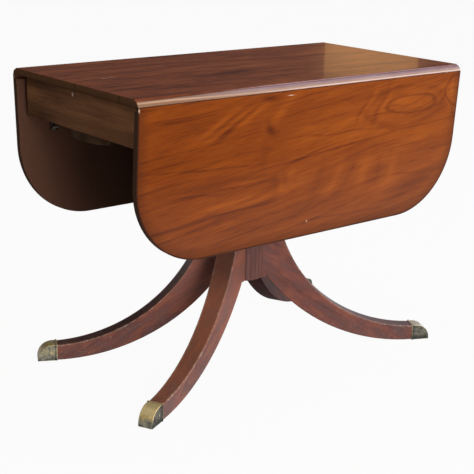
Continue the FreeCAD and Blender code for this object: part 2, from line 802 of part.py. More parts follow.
    # Fasteners
    hinge_screws = screws(SMALL_SCREW, top_seats, hinge_screw_length)
    solids["hinge_screws"] = Part.makeCompound(hinge_screws + [half_turned(s) for s in hinge_screws])
    leaf_screws = screws(SMALL_SCREW, flap_seats, hinge_screw_length)
    leaf_screws += screws(SMALL_SCREW, runner_seats, track_screw_length)
    leaf_screws = [hung(s) for s in leaf_screws]
    solids["back_leaf_screws"] = Part.makeCompound(leaf_screws)
    solids["front_leaf_screws"] = Part.makeCompound([half_turned(s) for s in leaf_screws])
    rail_screws = screws(SMALL_SCREW, rail_seats, bracket_screw_length)
    solids["stay_bracket_screws"] = Part.makeCompound(rail_screws + [half_turned(s) for s in rail_screws])
    solids["top_screws"] = Part.makeCompound(screws(LARGE_SCREW, block_seats(), block_screw_length))
    solids["bearer_screws"] = Part.makeCompound(screws(LARGE_SCREW, bearer_seats(), bearer_screw_length))
    solids["head_block_screws"] = Part.makeCompound(screws(LARGE_SCREW, head_seats(), head_screw_length))
    solids["base_plate_screws"] = Part.makeCompound(screws(LARGE_SCREW, plate_seats(), plate_screw_length))

    for name, shape in solids.items():
        save(name, shape)
    return solids


solids = build()
print(f"{len(solids)} nodes, leaf turns {leaf_turn:.2f} degrees, stay arm turns {arm_turn:.2f} degrees")
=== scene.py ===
import math

import bpy
from mathutils import Matrix, Vector

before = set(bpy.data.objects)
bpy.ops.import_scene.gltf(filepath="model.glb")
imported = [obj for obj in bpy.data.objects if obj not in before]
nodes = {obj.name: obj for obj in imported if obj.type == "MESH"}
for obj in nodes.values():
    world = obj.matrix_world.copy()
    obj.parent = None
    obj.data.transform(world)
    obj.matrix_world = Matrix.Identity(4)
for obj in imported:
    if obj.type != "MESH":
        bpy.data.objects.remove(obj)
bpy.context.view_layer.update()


# Column
# A turned mahogany post, reeded between the legs and shaped into a vase above them.
# The legs' dovetails are let into it from below, and its tenon stands in the head block.

def linear(colour):
    """An sRGB colour such as '#5a2f20' as linear red, green, blue and alpha."""
    channels = [int(colour[i:i + 2], 16) / 255 for i in (1, 3, 5)]
    return [c / 12.92 if c <= 0.04045 else ((c + 0.055) / 1.055) ** 2.4 for c in channels] + [1.0]


def add(tree, kind, links=None, out=0, stops=None, **settings):
    """Adds a node with its settings, ramp stops and inputs' values or links, and gives one output.

    A Mix node of colours takes its share at input 0, its colours at 6 and 7, and gives output 2.
    """
    node = tree.nodes.new(kind)
    for setting, value in settings.items():
        setattr(node, setting, value)
    for socket, source in (links or {}).items():
        if isinstance(source, bpy.types.NodeSocket):
            tree.links.new(source, node.inputs[socket])
        else:
            node.inputs[socket].default_value = source
    if stops:
        while len(node.color_ramp.elements) < len(stops):
            node.color_ramp.elements.new(1.0)
        for element, (place, colour) in zip(node.color_ramp.elements, stops):
            element.position = place
            element.color = linear(colour)
    return node.outputs[out] if node.outputs else None


def new_material(name):
    """An empty node material."""
    material = bpy.data.materials.new(name)
    material.use_nodes = True
    material.node_tree.nodes.clear()
    return material


def board_space(tree, along, facing, origin):
    """A board's own space in metres: along its grain, across its show face and into its thickness."""
    grain = Vector(along).normalized()
    outward = (Vector(facing) - grain * Vector(facing).dot(grain)).normalized()
    turn = Matrix((grain, outward.cross(grain), outward))
    part_space = add(tree, "ShaderNodeTexCoord", out="Object")
    return add(tree, "ShaderNodeMapping",
               {"Vector": part_space, "Location": -(turn @ Vector(origin)), "Rotation": turn.to_euler()})


def speckle(tree, place, length_mm, width_mm, detail=2.0, out="Fac"):
    """Noise drawn out along the grain, with patches of about this size."""
    size = (1000 / length_mm, 1000 / width_mm, 1000 / width_mm)
    drawn = add(tree, "ShaderNodeVectorMath", {0: place, 1: size}, operation="MULTIPLY")
    return add(tree, "ShaderNodeTexNoise",
               {"Vector": drawn, "Scale": 1.0, "Detail": detail, "Roughness": 0.55}, out=out)


def oval(tree, place, along, across, length, width, turn=0):
    """Distance from a spot of the board, 1 on an oval of this half length and half width, in millimetres.

    turn is the oval's angle to the grain in degrees.
    """
    spot = (along / 1000, across / 1000, 0)
    cosine, sine = math.cos(math.radians(turn)), math.sin(math.radians(turn))
    offset = add(tree, "ShaderNodeVectorMath", {0: place, 1: spot}, operation="SUBTRACT")
    lengthwise = (1000 / length * cosine, 1000 / length * sine, 0)
    crosswise = (-1000 / width * sine, 1000 / width * cosine, 0)
    far_along = add(tree, "ShaderNodeVectorMath", {0: offset, 1: lengthwise},
                    out="Value", operation="DOT_PRODUCT")
    far_across = add(tree, "ShaderNodeVectorMath", {0: offset, 1: crosswise},
                     out="Value", operation="DOT_PRODUCT")
    both = add(tree, "ShaderNodeCombineXYZ", {0: far_along, 1: far_across})
    return add(tree, "ShaderNodeVectorMath", {0: both}, out="Value", operation="LENGTH")


def mound(tree, place, *spot):
    """1 in the middle of an oval, falling away to about a third on its outline."""
    distance = oval(tree, place, *spot)
    square = add(tree, "ShaderNodeMath", {0: distance, 1: 2.0}, operation="POWER")
    return add(tree, "ShaderNodeMath", {0: math.exp(-1), 1: square}, operation="POWER")


STRAY_ALONG = 0.07
STRAY_ACROSS = 0.035
LOOP_WIDTH = 0.16


def timber(tree, place, tones, ring_mm, wander, line, fibre, drift, swirls=(), streaks=(), loops=()):
    """Colour and fibre of a board, from growth rings, fibres, pores and slow drifts of colour.

    wander is how many rings the lines stray by; line, fibre and drift are shares of the tone.
    A swirl is a mound with the number of rings it lifts, so the lines close round it like an eye.
    A streak is a mound with the tone it adds or takes away, and a loop an oval's outline with its tone.
    All three stray from neat ovals by some centimetres, and a loop's width is a share of its oval's.
    """
    across = add(tree, "ShaderNodeVectorMath", {0: place, 1: (0, 1000 / ring_mm, 400 / ring_mm)},
                 out="Value", operation="DOT_PRODUCT")
    bend = speckle(tree, place, length_mm=520, width_mm=120, detail=2.5)
    growth = add(tree, "ShaderNodeMath", {0: bend, 1: wander, 2: across}, operation="MULTIPLY_ADD")
    stray = speckle(tree, place, length_mm=260, width_mm=90, detail=1.0, out="Color")
    stray = add(tree, "ShaderNodeVectorMath", {0: stray, 1: (0.5, 0.5, 0.5)}, operation="SUBTRACT")
    loose = add(tree, "ShaderNodeVectorMath",
                {0: stray, 1: (STRAY_ALONG, STRAY_ACROSS, 0), 2: place}, operation="MULTIPLY_ADD")
    for *spot, lift in swirls:
        hill = mound(tree, loose, *spot)
        growth = add(tree, "ShaderNodeMath", {0: hill, 1: lift, 2: growth}, operation="MULTIPLY_ADD")
    ring = add(tree, "ShaderNodeMath", {0: growth}, operation="FRACT")
    late_wood = add(tree, "ShaderNodeValToRGB", {"Fac": ring},
                    stops=[(0.0, "#303030"), (0.3, "#000000"), (0.75, "#585858"),
                           (0.94, "#ffffff"), (1.0, "#303030")])
    strength = speckle(tree, place, length_mm=330, width_mm=50, detail=1.0)
    strength = add(tree, "ShaderNodeMapRange",
                   {"Value": strength, "From Min": 0.38, "From Max": 0.66, "To Max": -line})

    # Fibres and pores, drawn some three times as wide as the real ones so that they show at this distance
    fibres = speckle(tree, place, length_mm=120, width_mm=2.4, detail=3.0)
    pores = speckle(tree, place, length_mm=36, width_mm=1.9, detail=0.0)
    pores = add(tree, "ShaderNodeMapRange",
                {"Value": pores, "From Min": 0.55, "From Max": 0.75, "To Max": -0.35 * fibre})
    drifts = speckle(tree, place, length_mm=260, width_mm=40)
    middle = 0.5 - 0.5 * fibre - 0.5 * drift
    tone = add(tree, "ShaderNodeMath", {0: fibres, 1: fibre, 2: middle}, operation="MULTIPLY_ADD")
    tone = add(tree, "ShaderNodeMath", {0: drifts, 1: drift, 2: tone}, operation="MULTIPLY_ADD")
    tone = add(tree, "ShaderNodeMath", {0: late_wood, 1: strength, 2: tone}, operation="MULTIPLY_ADD")
    tone = add(tree, "ShaderNodeMath", {0: tone, 1: pores}, operation="ADD")
    for *spot, shade in streaks:
        hill = mound(tree, loose, *spot)
        tone = add(tree, "ShaderNodeMath", {0: hill, 1: shade, 2: tone}, operation="MULTIPLY_ADD")
    for *spot, shade in loops:
        distance = oval(tree, loose, *spot)
        away = add(tree, "ShaderNodeMath", {0: distance, 1: 1.0}, operation="SUBTRACT")
        away = add(tree, "ShaderNodeMath", {0: away}, operation="ABSOLUTE")
        thread = add(tree, "ShaderNodeMapRange",
                     {"Value": away, "From Max": LOOP_WIDTH, "To Min": shade, "To Max": 0.0})
        tone = add(tree, "ShaderNodeMath", {0: tone, 1: thread}, operation="ADD")
    colour = add(tree, "ShaderNodeValToRGB", {"Fac": tone}, stops=tones)
    return colour, fibres


VARNISH_IOR = 1.5
COOL_SHEEN = "#e8dcf0"
ROUGHNESS_SPREAD = 0.08
GRAIN_DEPTH = 0.0005


def polished(tree, colour, fibres, roughness, shine, tint, gloss, gloss_roughness, bare=None):
    """Closes a wood material: slightly open grain under a tinted sheen and a thin clear gloss.

    bare, where it is given, is 1 where the wood was never polished and is quite dull.
    """
    spread = add(tree, "ShaderNodeMapRange",
                 {"Value": fibres,
                  "To Min": roughness + ROUGHNESS_SPREAD, "To Max": roughness - ROUGHNESS_SPREAD})
    film = gloss
    if bare:
        spread = add(tree, "ShaderNodeMix", {0: bare, 2: spread, 3: 1.0})
        film = add(tree, "ShaderNodeMapRange", {"Value": bare, "To Min": gloss, "To Max": 0.0})
    relief = add(tree, "ShaderNodeBump", {"Height": fibres, "Strength": 0.1, "Distance": GRAIN_DEPTH})
    shader = add(tree, "ShaderNodeBsdfPrincipled",
                 {"Base Color": colour, "Roughness": spread, "Normal": relief, "IOR": VARNISH_IOR,
                  "Specular IOR Level": shine, "Specular Tint": linear(tint),
                  "Coat Weight": film, "Coat Roughness": gloss_roughness, "Coat IOR": VARNISH_IOR})
    add(tree, "ShaderNodeOutputMaterial", {"Surface": shader})


def dress(node, material):
    """Gives a CAD node its material."""
    nodes[node].data.materials.clear()
    nodes[node].data.materials.append(material)


# Old mahogany under a thin rubbed finish: red-brown with a purple cast, and dark dirt and painted shade in
# the reeds' hollows
COLUMN_TONES = [(0.0, "#281514"), (0.3, "#502f29"), (0.55, "#6a433a"), (0.8, "#80564a"), (1.0, "#976e5d")]
REED_HOLLOW = 0.012
column_mahogany = new_material("column_mahogany_rubbed")
tree = column_mahogany.node_tree
place = board_space(tree, (0, 0, 1), (1, 0, 0), (0, 0, 0))
colour, fibres = timber(tree, place, COLUMN_TONES, ring_mm=8, wander=1.2, line=0.18, fibre=0.5, drift=0.6)
# Darker in the reeds' hollows, found from their depth: dirt and painted shade
hollow = add(tree, "ShaderNodeAmbientOcclusion", {"Distance": REED_HOLLOW}, out="AO", samples=6)
painted_shade = add(tree, "ShaderNodeMapRange",
           {"Value": hollow, "From Min": 0.35, "From Max": 0.9, "To Min": 0.75, "To Max": 0.0})
colour = add(tree, "ShaderNodeMix", {0: painted_shade, 6: colour, 7: linear("#1c0f0d")}, out=2, data_type="RGBA")
polished(tree, colour, fibres, roughness=0.42, shine=0.3, tint=COOL_SHEEN, gloss=0.1, gloss_roughness=0.25)
dress("column", column_mahogany)


# Plate under the column
# A round of black sheet iron, cut out cold and drilled for its screws.
# It is screwed up under the post, so that the legs' dovetails can't drop out.

# Rolled sheet with a blackened skin: nearly matt, with brown rust where the black has rubbed through
BLOTCH_MM = 9
BLOTCH_DEPTH = 0.0004
sheet_iron = new_material("sheet_iron_blackened")
tree = sheet_iron.node_tree
part_space = add(tree, "ShaderNodeTexCoord", out="Object")
blotch = add(tree, "ShaderNodeTexNoise", {"Vector": part_space, "Scale": 1000 / BLOTCH_MM, "Detail": 5.0})
colour = add(tree, "ShaderNodeValToRGB", {"Fac": blotch},
             stops=[(0.3, "#1d1a18"), (0.55, "#2e2925"), (0.75, "#4a3527")])
rough = add(tree, "ShaderNodeMapRange", {"Value": blotch, "To Min": 0.5, "To Max": 0.8})
relief = add(tree, "ShaderNodeBump", {"Height": blotch, "Strength": 0.2, "Distance": BLOTCH_DEPTH})
shader = add(tree, "ShaderNodeBsdfPrincipled",
             {"Base Color": colour, "Metallic": 0.7, "Roughness": rough, "Normal": relief})
add(tree, "ShaderNodeOutputMaterial", {"Surface": shader})
dress("base_plate", sheet_iron)


# Legs
# Four sabre legs sawn from straight mahogany, so the grain runs slantwise across their curve.
# Each is dovetailed into the column, and its upper arrises are worn pale and chipped.

LEG_SPREAD = math.radians(26.5)
LEG_CROSSING = 0.017
GRAIN_FALL = math.radians(34)


def arris(tree, reach_mm):
    """How near a point is to an arris, from 0 at this distance on a flat face to 1 on the edge itself."""
    depth = add(tree, "ShaderNodeAmbientOcclusion", {"Distance": reach_mm / 1000}, out="AO",
                samples=8, inside=True, only_local=True)
    return add(tree, "ShaderNodeMapRange", {"Value": depth, "From Min": 0.95, "From Max": 0.55})


# The column's mahogany in warm and grey patches, with painted light and shade on the upper faces, rubbed to
# paler wood with chips on the upper arrises, a haze and painted sheen higher up, scuffed and dusty low
# down, a painted shadow at the top of the upper face, and bare, with painted shade, underneath
LEG_TONES = [(0.0, "#2c1614"), (0.3, "#592f27"), (0.55, "#754338"), (0.8, "#8d5648"), (1.0, "#a66e5b")]
STAIN_LENGTH_MM = 70
STAIN_WIDTH_MM = 24
WORN_PATCH_MM = 14
SCUFF_MM = 5
ARRIS_MM = 7
ARRIS_ROUND = 0.006
SCUFFED_FROM, MOST_SCUFFED = 0.16, 0.03
SHEEN_FROM, MOST_SHEEN = 0.08, 0.2
DARK_FROM, DARKEST = 0.175, 0.25
LEAST_DULL = 0.25
OWN_WOOD_Y = 0.3
OWN_WOOD_Z = 0.1
# How each leg has aged and is lit: the cast of painted light and shade on its upper face and the share of
# it, its arrises' wear, its haze and painted sheen, and its share of painted shade
LEG_LOOKS = {
    ("left", "front"): ("#b0704c", 0.3, 0.92, 0.2, 0.0),
    ("left", "back"): ("#33201b", 0.5, 0.85, 0.3, 0.0),
    ("right", "front"): ("#8f8289", 0.6, 0.6, 0.05, 0.15),
    ("right", "back"): ("#6d4a3a", 0.3, 0.8, 0.1, 0.5),
}
for end, side_x in (("left", -1), ("right", 1)):
    for side, side_y in (("front", -1), ("back", 1)):
        out = Vector((side_x * math.cos(LEG_SPREAD), side_y * math.sin(LEG_SPREAD), 0))
        along = out * math.cos(GRAIN_FALL) - Vector((0, 0, math.sin(GRAIN_FALL)))
        facing = out.cross(Vector((0, 0, 1)))
        leg_mahogany = new_material(f"sabre_leg_mahogany_{end}_{side}")
        tree = leg_mahogany.node_tree
        start = (-side_x * LEG_CROSSING, OWN_WOOD_Y * side_y, OWN_WOOD_Z * side_x)
        place = board_space(tree, along, facing, start)
        colour, fibres = timber(tree, place, LEG_TONES, ring_mm=12, wander=1.0,
                                line=0.18, fibre=0.5, drift=0.7)
        cast, cast_share, most_worn, most_haze_and_sheen, painted_shade = LEG_LOOKS[end, side]
        part_space = add(tree, "ShaderNodeTexCoord", out="Object")
        normal = add(tree, "ShaderNodeTexCoord", out="Normal")
        upward = add(tree, "ShaderNodeSeparateXYZ", {0: normal}, out="Z")

        # Warm and grey patches, and painted light and shade on the upper face, lighter on some legs and
        # darker on others
        stain = speckle(tree, place, STAIN_LENGTH_MM, STAIN_WIDTH_MM)
        warm = add(tree, "ShaderNodeMapRange",
                   {"Value": stain, "From Min": 0.5, "From Max": 0.66, "To Max": 0.5})
        colour = add(tree, "ShaderNodeMix", {0: warm, 6: colour, 7: linear("#925338")},
                     out=2, data_type="RGBA")
        grey = add(tree, "ShaderNodeMapRange",
                   {"Value": stain, "From Min": 0.5, "From Max": 0.34, "To Max": 0.5})
        colour = add(tree, "ShaderNodeMix", {0: grey, 6: colour, 7: linear("#574543")},
                     out=2, data_type="RGBA")
        upper_light_and_shade = add(tree, "ShaderNodeMapRange",
                    {"Value": upward, "From Min": 0.2, "From Max": 0.5, "To Max": cast_share})
        colour = add(tree, "ShaderNodeMix", {0: upper_light_and_shade, 6: colour, 7: linear(cast)}, out=2, data_type="RGBA")

        # Wear and chips along the upper arrises only: rounded off, these lean up and the lower ones down
        patches = add(tree, "ShaderNodeTexNoise",
                      {"Vector": part_space, "Scale": 1000 / WORN_PATCH_MM, "Detail": 4.0})
        edge = arris(tree, ARRIS_MM)
        rounded = add(tree, "ShaderNodeBevel", {"Radius": ARRIS_ROUND}, samples=6)
        leaning = add(tree, "ShaderNodeSeparateXYZ", {0: rounded}, out="Z")
        leaning = add(tree, "ShaderNodeMapRange", {"Value": leaning, "From Min": -0.1, "From Max": 0.1})
        edge = add(tree, "ShaderNodeMath", {0: edge, 1: leaning}, operation="MULTIPLY")
        edge_wear = add(tree, "ShaderNodeMath", {0: edge, 1: patches}, operation="MULTIPLY")
        worn = add(tree, "ShaderNodeMapRange",
                   {"Value": edge_wear, "From Min": 0.15, "From Max": 0.48, "To Max": most_worn})
        colour = add(tree, "ShaderNodeMix", {0: worn, 6: colour, 7: linear("#b58a72")},
                     out=2, data_type="RGBA")
        chips = add(tree, "ShaderNodeMapRange", {"Value": edge_wear, "From Min": 0.46, "From Max": 0.55})
        colour = add(tree, "ShaderNodeMix", {0: chips, 6: colour, 7: linear("#e2d0c1")},
                     out=2, data_type="RGBA")

        # A haze and painted sheen higher up, dust and scuffs low down
        height = add(tree, "ShaderNodeSeparateXYZ", {0: part_space}, out="Z")
        haze_and_painted_sheen = add(tree, "ShaderNodeMapRange",
                   {"Value": height, "From Min": SHEEN_FROM, "From Max": MOST_SHEEN, "To Max": most_haze_and_sheen})
        colour = add(tree, "ShaderNodeMix", {0: haze_and_painted_sheen, 6: colour, 7: linear("#a5705f")},
                     out=2, data_type="RGBA")
        low_down = add(tree, "ShaderNodeMapRange",
                       {"Value": height, "From Min": SCUFFED_FROM, "From Max": MOST_SCUFFED})
        scuffs = add(tree, "ShaderNodeTexNoise",
                     {"Vector": part_space, "Scale": 1000 / SCUFF_MM, "Detail": 3.0, "Roughness": 0.7})
        scuffs = add(tree, "ShaderNodeMapRange",
                     {"Value": scuffs, "From Min": 0.6, "From Max": 0.72, "To Max": 0.45})
        scuffs = add(tree, "ShaderNodeMath", {0: scuffs, 1: low_down}, operation="MULTIPLY")
        dust = add(tree, "ShaderNodeMath", {0: low_down, 1: patches}, operation="MULTIPLY")
        dust = add(tree, "ShaderNodeMapRange",
                   {"Value": dust, "From Min": 0.2, "From Max": 0.6, "To Max": 0.24})
        colour = add(tree, "ShaderNodeMix", {0: dust, 6: colour, 7: linear("#6b5a56")},
                     out=2, data_type="RGBA")
        colour = add(tree, "ShaderNodeMix", {0: scuffs, 6: colour, 7: linear("#c3a592")},
                     out=2, data_type="RGBA")

        # A painted shadow at the top of the upper face, and painted shade underneath and, for some legs,
        # all over:
        # inward is 1 facing down to the column and -1 facing up and out
        inward = add(tree, "ShaderNodeVectorMath", {0: normal, 1: (-out - Vector((0, 0, 1))).normalized()},
                     out="Value", operation="DOT_PRODUCT")
        on_top = add(tree, "ShaderNodeMapRange", {"Value": inward, "From Min": -0.35, "From Max": -0.6})
        near_top = add(tree, "ShaderNodeMapRange",
                       {"Value": height, "From Min": DARK_FROM, "From Max": DARKEST, "To Max": 0.6})
        near_top = add(tree, "ShaderNodeMath", {0: near_top, 1: on_top}, operation="MULTIPLY")
        colour = add(tree, "ShaderNodeMix", {0: near_top, 6: colour, 7: linear("#2a1813")},
                     out=2, data_type="RGBA")
        under = add(tree, "ShaderNodeMapRange", {"Value": inward, "From Min": 0.35, "From Max": 0.6})
        shaded = add(tree, "ShaderNodeMapRange", {"Value": under, "To Min": painted_shade, "To Max": 0.8})
        colour = add(tree, "ShaderNodeMix", {0: shaded, 6: colour, 7: linear("#1f1210")},
                     out=2, data_type="RGBA")
        bare = add(tree, "ShaderNodeMapRange",
                   {"Value": under, "To Min": max(painted_shade, LEAST_DULL), "To Max": 1.0})
        polished(tree, colour, fibres, roughness=0.38, shine=0.3, tint=COOL_SHEEN,
                 gloss=0.12, gloss_roughness=0.2, bare=bare)
        dress(f"{end}_{side}_leg", leg_mahogany)


# Toe caps
# Cast brass boxes over the toes, each held by a brass pin. Feet and mops keep their tops bright, with
# painted light and reflection added, while their sides are dull, grey-green and dark along the edges.

# Old cast brass: tan-gold where it is rubbed, with painted light and reflection, blotched grey-green
# tarnish elsewhere, dark in the corners, and rubbed and painted highlights along the arrises
TARNISH_MM = 9
TARNISH_DEPTH = 0.0006
CAP_ARRIS_MM = 1.9
ARRIS_SHINE = 0.6
NOSE_SHARE = 0.27
DARKER_BELOW = 0.014
CREVICE_REACH = 0.0025
RIM_EDGE = 0.0005
RIM_ALONG_LEG = 0.4905
RIM_FRONT = RIM_ALONG_LEG - LEG_CROSSING * math.cos(LEG_SPREAD)
# How each cap has worn and is lit: how bright its top and its sides are, with wear and painted light, how
# mottled it is, and its brightest colour, a painted whitish reflection on the right front cap
for end, side, side_x, side_y, top_shine, side_shine, mottle, brightest_tone in (
        ("left", "front", -1, -1, 0.9, -0.14, 0.5, "#f0d99c"),
        ("left", "back", -1, 1, 0.5, 0.14, 0.5, "#e6cd92"),
        ("right", "front", 1, -1, 1.0, 0.02, 0.26, "#f0e9dc"),
        ("right", "back", 1, 1, 0.2, -0.25, 0.5, "#e6cd92")):
    out = (side_x * math.cos(LEG_SPREAD), side_y * math.sin(LEG_SPREAD), 0)
    toe_brass = new_material(f"toe_brass_tarnished_{end}_{side}")
    tree = toe_brass.node_tree
    part_space = add(tree, "ShaderNodeTexCoord", out="Object")
    normal = add(tree, "ShaderNodeTexCoord", out="Normal")
    upward = add(tree, "ShaderNodeSeparateXYZ", {0: normal}, out="Z")

    # Bright on top, on the nose and along the arrises, with rubbing, painted light and painted highlights
    nose = add(tree, "ShaderNodeVectorMath", {0: normal, 1: out}, out="Value", operation="DOT_PRODUCT")
    nose = add(tree, "ShaderNodeMath", {0: nose, 1: NOSE_SHARE}, operation="MULTIPLY")
    exposed = add(tree, "ShaderNodeMath", {0: upward, 1: nose}, operation="MAXIMUM")
    rubbed = add(tree, "ShaderNodeMapRange", {"Value": exposed, "From Min": 0.1, "From Max": 0.7,
                                              "To Min": side_shine, "To Max": top_shine})
    tarnish = add(tree, "ShaderNodeTexNoise",
                  {"Vector": part_space, "Scale": 1000 / TARNISH_MM, "Detail": 5.0, "Roughness": 0.6})
    blotches = add(tree, "ShaderNodeMapRange",
                   {"Value": tarnish, "From Min": 0.3, "From Max": 0.7, "To Max": mottle})
    bright = add(tree, "ShaderNodeMath", {0: blotches, 1: rubbed}, operation="ADD")
    edge = arris(tree, CAP_ARRIS_MM)
    bright = add(tree, "ShaderNodeMath", {0: edge, 1: ARRIS_SHINE, 2: bright}, operation="MULTIPLY_ADD")

    # Dark near the floor, and in the crevice at the rim's front edge
    height = add(tree, "ShaderNodeSeparateXYZ", {0: part_space}, out="Z")
    darker_near_floor = add(tree, "ShaderNodeMapRange",
                     {"Value": height, "From Min": DARKER_BELOW, "From Max": 0.0, "To Max": -0.3})
    bright = add(tree, "ShaderNodeMath", {0: bright, 1: darker_near_floor}, operation="ADD")
    along_leg = add(tree, "ShaderNodeVectorMath", {0: part_space, 1: out},
                    out="Value", operation="DOT_PRODUCT")
    past_rim = add(tree, "ShaderNodeMath", {0: along_leg, 1: RIM_FRONT}, operation="SUBTRACT")
    crevice = add(tree, "ShaderNodeMath", {0: past_rim}, operation="ABSOLUTE")
    crevice = add(tree, "ShaderNodeMapRange",
                  {"Value": crevice, "From Max": CREVICE_REACH, "To Min": -0.4, "To Max": 0.0})
    bright = add(tree, "ShaderNodeMath", {0: bright, 1: crevice}, operation="ADD")
    rim = add(tree, "ShaderNodeMapRange",
              {"Value": past_rim, "From Min": RIM_EDGE, "From Max": -RIM_EDGE, "To Max": -0.12})
    bright = add(tree, "ShaderNodeMath", {0: bright, 1: rim}, operation="ADD")
    colour = add(tree, "ShaderNodeValToRGB", {"Fac": bright},
                 stops=[(0.0, "#33322c"), (0.3, "#7b786b"), (0.6, "#aa9f7a"),
                        (0.9, "#dcc182"), (1.0, brightest_tone)])
    rough = add(tree, "ShaderNodeMapRange", {"Value": bright, "To Min": 0.62, "To Max": 0.38})
    relief = add(tree, "ShaderNodeBump", {"Height": tarnish, "Strength": 0.25, "Distance": TARNISH_DEPTH})
    shader = add(tree, "ShaderNodeBsdfPrincipled",
                 {"Base Color": colour, "Metallic": 0.5, "Roughness": rough, "Normal": relief})
    add(tree, "ShaderNodeOutputMaterial", {"Surface": shader})
    dress(f"{end}_{side}_toe_cap", toe_brass)
dress("toe_cap_pins", toe_brass)


# Head block and bearers
# Plain secondary wood that carries the frame: a block on the column's tenon, a board along the
# table above it, a cross piece between the rails and glued blocks in their corners.
# Sawn, stained dark and never polished.

# Bare softwood gone brown with age: matt, with close straight grain
INNER_TONES = [(0.0, "#1e1710"), (0.4, "#3c2d20"), (0.7, "#574534"), (1.0, "#72604c")]
WARM_SHEEN = "#b5713f"
for node, along in (("head_block", (1, 0, 0)), ("long_bearer", (1, 0, 0)),
                    ("cross_bearer", (0, 1, 0)), ("corner_blocks", (0, 0, 1))):
    inner_wood = new_material(f"stained_softwood_{node}")
    tree = inner_wood.node_tree
    place = board_space(tree, along, (1, 0, 0) if along[2] else (0.3, 0.2, 1), (0, 0, 0))
    colour, fibres = timber(tree, place, INNER_TONES, ring_mm=6, wander=1.5, line=0.3, fibre=0.8, drift=0.8)
    polished(tree, colour, fibres, roughness=0.9, shine=0.1, tint=WARM_SHEEN,
             gloss=0.0, gloss_roughness=0.3)
    dress(node, inner_wood)


# Rails
# Four rails make the frame under the top, with the end ones showing between the leaves.
# Mahogany, polished once and now dull, olive-brown and mottled.

# Mahogany that has lost its polish: flat olive-brown and cloudy, darker below, painted shade at one end and
# painted light at the other, a painted shadow right under the top, and one small bruise that shows bare
# wood
RAIL_TONES = [(0.0, "#3c2815"), (0.3, "#724c33"), (0.55, "#926444"), (0.8, "#a87550"), (1.0, "#bd8d64")]
# Two broad patches along the rail: painted shade at one end and painted light at the other
RAIL_PAINTED_ENDS = ((160, -30, 95, 200, -0.25), (-190, 0, 130, 200, 0.14))
RAIL_BRUISE = (23, -78, 2.4, 3.4)
RAIL_FOOT = 0.628
SHADOW_FROM, DARKEST_SHADOW = 0.687, 0.718
LINE_FROM, LINE_DARKEST = 0.712, 0.716
DIM_FROM, DIMMEST = 0.671, 0.655
for node, along, facing in (
        ("left_end_rail", (0, 1, 0), (-1, 0, 0)),
        ("right_end_rail", (0, 1, 0), (1, 0, 0)),
        ("front_side_rail", (1, 0, 0), (0, -1, 0)),
        ("back_side_rail", (1, 0, 0), (0, 1, 0))):
    rail_mahogany = new_material(f"dull_mahogany_{node}")
    tree = rail_mahogany.node_tree
    place = board_space(tree, along, facing, (0, 0, RAIL_FOOT))
    colour, fibres = timber(tree, place, RAIL_TONES, ring_mm=16, wander=1.6,
                            line=0.12, fibre=0.3, drift=1.0, streaks=RAIL_PAINTED_ENDS)
    part_space = add(tree, "ShaderNodeTexCoord", out="Object")
    height = add(tree, "ShaderNodeSeparateXYZ", {0: part_space}, out="Z")
    # A painted shadow under the top's overhang, a painted shadow line just under its edge, and darker low
    # down
    grime_and_painted_shadow = add(tree, "ShaderNodeMapRange",
                {"Value": height, "From Min": SHADOW_FROM, "From Max": DARKEST_SHADOW, "To Max": 0.62})
    dark_line = add(tree, "ShaderNodeMapRange",
                    {"Value": height, "From Min": LINE_FROM, "From Max": LINE_DARKEST, "To Max": 0.28})
    grime_and_painted_shadow = add(tree, "ShaderNodeMath", {0: grime_and_painted_shadow, 1: dark_line}, operation="ADD")
    dim_below = add(tree, "ShaderNodeMapRange",
                    {"Value": height, "From Min": DIM_FROM, "From Max": DIMMEST, "To Max": 0.44})
    grime_and_painted_shadow = add(tree, "ShaderNodeMath", {0: grime_and_painted_shadow, 1: dim_below}, operation="ADD")
    colour = add(tree, "ShaderNodeMix", {0: grime_and_painted_shadow, 6: colour, 7: linear("#2a1a10")},
                 out=2, data_type="RGBA")
    if node == "left_end_rail":
        bruise = mound(tree, place, *RAIL_BRUISE)
        colour = add(tree, "ShaderNodeMix", {0: bruise, 6: colour, 7: linear("#e8ddd0")},
                     out=2, data_type="RGBA")
    polished(tree, colour, fibres, roughness=0.75, shine=0.12, tint=WARM_SHEEN,
             gloss=0.0, gloss_roughness=0.3)
    dress(node, rail_mahogany)


# Fixed top
# A mahogany board, polished on its face and along the quarter rounds that the leaves turn on.
# The grain runs lengthwise, and the ends drank the stain and stay dark.

# French-polished mahogany: deep red-brown with long streaks, a clear mirror gloss, a few pale scratches
TOP_TONES = [(0.0, "#36160e"), (0.3, "#693320"), (0.5, "#8b4a2c"), (0.75, "#a45d34"), (1.0, "#bc7846")]
TOP_STREAKS = (
    (-115, -64, 90, 10, -0.25),
    (-88, 48, 120, 9, 0.2),
    (55, 4, 140, 12, 0.18),
    (-300, -140, 160, 10, -0.18),
    (200, -150, 180, 9, -0.18),
    (-330, 120, 150, 14, -0.12),
    (300, 90, 200, 16, 0.12),
)
TOP_HEIGHT = 0.737
SCRATCHES = ((-399, 10), (-377, 13))
SCRATCH_SIZE = (7, 1.6)
top_mahogany = new_material("top_mahogany_french_polished")
tree = top_mahogany.node_tree
place = board_space(tree, (1, 0, 0), (0, 0, 1), (0, 0, TOP_HEIGHT))
colour, fibres = timber(tree, place, TOP_TONES, ring_mm=24, wander=1.6,
                        line=0.36, fibre=0.75, drift=0.8, streaks=TOP_STREAKS)
for spot in SCRATCHES:
    scratch = mound(tree, place, *spot, *SCRATCH_SIZE)
    colour = add(tree, "ShaderNodeMix", {0: scratch, 6: colour, 7: linear("#c9b3a6")},
                 out=2, data_type="RGBA")

